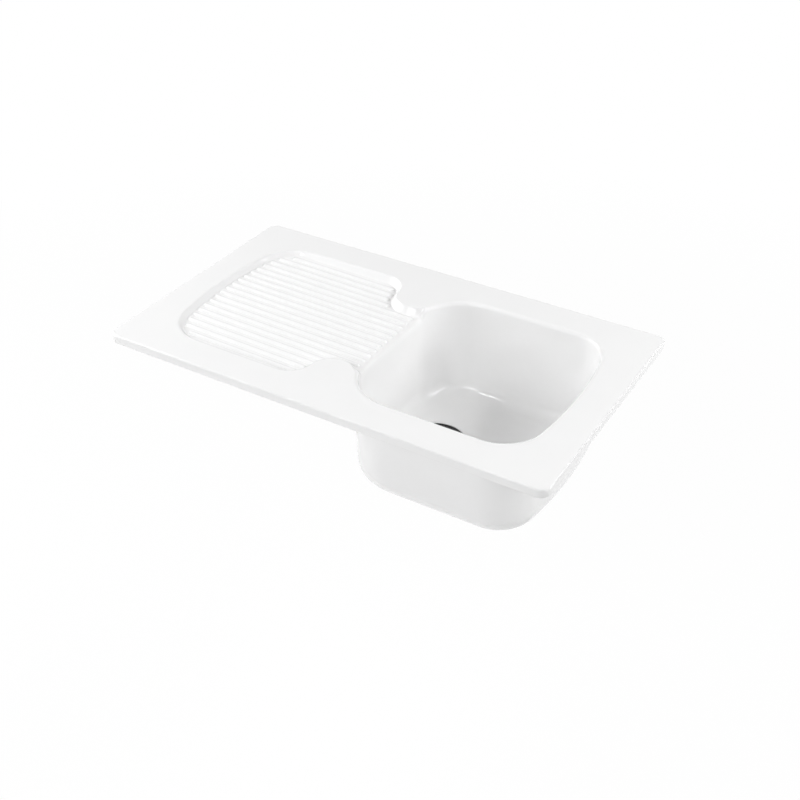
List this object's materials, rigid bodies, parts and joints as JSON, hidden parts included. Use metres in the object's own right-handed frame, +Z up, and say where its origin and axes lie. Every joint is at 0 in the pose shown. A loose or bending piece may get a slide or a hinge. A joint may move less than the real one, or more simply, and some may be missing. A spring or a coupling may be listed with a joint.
{
  "type": "kitchen sink",
  "caption": "Inset kitchen sink with a deep bowl, a ribbed drainer and a basket strainer waste, moulded in white mineral-filled resin.",
  "frame": {"origin": "centre of the rim's outline, in the plane of the rim's underside, which is the top of the worktop", "axes": "+X from the drainer to the bowl, +Y from the front to the back, +Z up"},
  "size_m": [0.86, 0.5, 0.305],
  "materials": {
    "white_resin": "moulded, semi-gloss",
    "sealing_foam": "matt closed-cell foam",
    "brass": "machined, knurled",
    "rubber": "matt, moulded",
    "black_strainer": "satin",
    "black_polypropylene": "moulded, satin",
    "stainless_steel": "turned"
  },
  "bodies": {
    "sink": {"basin": "white_resin", "rim_seal": "sealing_foam", "fixing_inserts": "brass", "upper_gasket": "rubber", "strainer_cup": "black_strainer", "lower_gasket": "rubber", "waste_body": "black_polypropylene", "hub_insert": "brass", "screw_washer": "stainless_steel", "clamp_screw": "stainless_steel", "spigot_washer": "rubber", "spigot_cap": "black_polypropylene"},
    "strainer_basket": {"basket": "black_strainer", "basket_seal": "rubber", "seal_retainer": "stainless_steel"},
    "stem": {"basket_stem": "stainless_steel", "basket_knob": "black_strainer", "stem_plug": "stainless_steel", "grip_ring": "stainless_steel"}
  },
  "joints": [
    {"name": "basket_lift", "type": "slide", "parent": "sink", "child": "strainer_basket", "axis": [0, 0, 1], "range_m": [0, 0.06]},
    {"name": "stem_spin", "type": "hinge", "parent": "strainer_basket", "child": "stem", "pos_m": [0.103, 0, -0.19], "axis": [0, 0, 1], "continuous": true}
  ]
}
